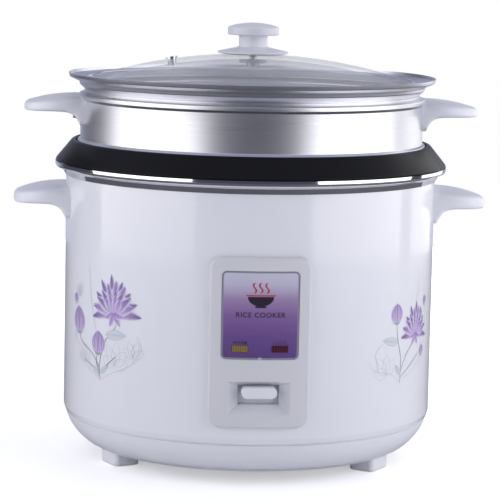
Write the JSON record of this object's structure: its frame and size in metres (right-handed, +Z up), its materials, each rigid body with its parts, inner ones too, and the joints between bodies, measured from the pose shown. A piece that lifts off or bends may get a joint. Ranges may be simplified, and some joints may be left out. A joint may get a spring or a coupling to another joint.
{
  "type": "rice cooker",
  "caption": "Drum-shaped electric rice cooker with steamer tray, domed glass lid, side handles, control panel with a cook lever, and a lift-out pot.",
  "frame": {"origin": "on the floor under the cooker's axis, level with the bottom of the feet", "axes": "+Z up; the control panel faces -Y; the handles point along +X and -X"},
  "size_m": [0.3654, 0.3018, 0.3351],
  "materials": {
    "shell_enamel": "gloss white",
    "white_plastic": "gloss white",
    "panel_plastic": "satin warm white",
    "label_print": "printed violet gradient",
    "collar_black": "satin black",
    "chrome_trim": "polished",
    "spun_aluminium": "brushed",
    "pot_aluminium": "satin",
    "band_steel": "polished",
    "zinc_steel": "zinc plated",
    "lid_clear": "clear tempered",
    "amber_lens": "translucent amber",
    "red_lens": "translucent dark red",
    "lamp_glass": "clear",
    "dark_plastic": "moulded black",
    "blade_brass": "plated",
    "ceramic_white": "unglazed",
    "ferrite_grey": "ground",
    "button_red": "moulded",
    "silicone": "soft white",
    "wire_insulation": "silicone braid"
  },
  "bodies": {
    "housing": {"outer_shell": "shell_enamel", "trim_band": "chrome_trim", "top_collar": "collar_black", "inner_liner": "pot_aluminium", "base_ring": "white_plastic", "bottom_cover": "white_plastic", "foot_front_left": "white_plastic", "foot_front_right": "white_plastic", "foot_rear": "white_plastic", "body_handle_right": "white_plastic", "body_handle_left": "white_plastic", "foot_screws": "zinc_steel", "base_screws": "zinc_steel", "handle_screws": "zinc_steel", "control_panel": "panel_plastic", "panel_label": "label_print", "lamp_holder": "dark_plastic", "panel_screws": "zinc_steel", "power_inlet": "dark_plastic", "inlet_pins": "blade_brass", "inlet_screws": "zinc_steel", "terminal_block": "ceramic_white", "heater_plate": "pot_aluminium", "heater_terminals": "zinc_steel", "heater_spacers": "zinc_steel", "heater_screws": "zinc_steel", "sensor_sleeve": "zinc_steel", "lever_pivot_pin": "zinc_steel", "lever_bracket": "zinc_steel", "micro_switch": "dark_plastic", "keep_warm_heater": "ceramic_white", "thermal_fuse": "wire_insulation", "internal_wires": "wire_insulation", "warm_lamp_lens": "amber_lens", "warm_lamp": "lamp_glass", "cook_lamp_lens": "red_lens", "cook_lamp": "lamp_glass"},
    "pot": {"inner_pot": "pot_aluminium"},
    "tray": {"steamer_tray": "spun_aluminium", "steamer_rivets": "pot_aluminium", "steamer_handle_right": "white_plastic", "steamer_handle_left": "white_plastic"},
    "lid": {"lid_glass": "lid_clear", "lid_rim_band": "band_steel", "vent_grommet": "band_steel", "knob_guard": "white_plastic", "lid_knob": "white_plastic", "knob_washer": "silicone", "knob_screw": "zinc_steel"},
    "sensor": {"sensor_cap": "pot_aluminium", "ferrite_disc": "ferrite_grey", "sensor_spring": "zinc_steel"},
    "lever": {"switch_lever": "zinc_steel", "lever_knob": "white_plastic"},
    "plunger": {"plunger_rod": "zinc_steel", "plunger_magnet": "ferrite_grey", "magnet_spring": "zinc_steel"},
    "button": {"switch_button": "button_red"}
  },
  "joints": [
    {"name": "pot_lift", "type": "slide", "parent": "housing", "child": "pot", "axis": [0, 0, 1], "range_m": [0, 0.2]},
    {"name": "tray_lift", "type": "slide", "parent": "pot", "child": "tray", "axis": [0, 0, 1], "range_m": [0, 0.12]},
    {"name": "lid_lift", "type": "slide", "parent": "tray", "child": "lid", "axis": [0, 0, 1], "range_m": [0, 0.12]},
    {"name": "cook_lever", "type": "hinge", "parent": "housing", "child": "lever", "pos_m": [0, -0.058, 0.074], "axis": [1, 0, 0], "range_deg": [0, 3.5], "stiffness_Nm_per_rad": 0.6, "springref_deg": -1.72},
    {"name": "plunger_slide", "type": "slide", "parent": "housing", "child": "plunger", "axis": [0, 0, 1], "range_m": [0, 0.0036], "deforming": ["magnet_spring"]},
    {"name": "button_slide", "type": "slide", "parent": "housing", "child": "button", "axis": [0, 0, -1], "range_m": [0, 0.002]},
    {"name": "sensor_press", "type": "slide", "parent": "housing", "child": "sensor", "axis": [0, 0, -1], "range_m": [0, 0.0014], "stiffness_N_per_m": 600, "springref_m": -0.004, "deforming": ["sensor_spring"]}
  ],
  "couplings": [
    {"joint": "plunger_slide", "follows": "cook_lever", "m_per_rad": 0.058},
    {"joint": "button_slide", "follows": "cook_lever", "m_per_rad": 0.032}
  ]
}
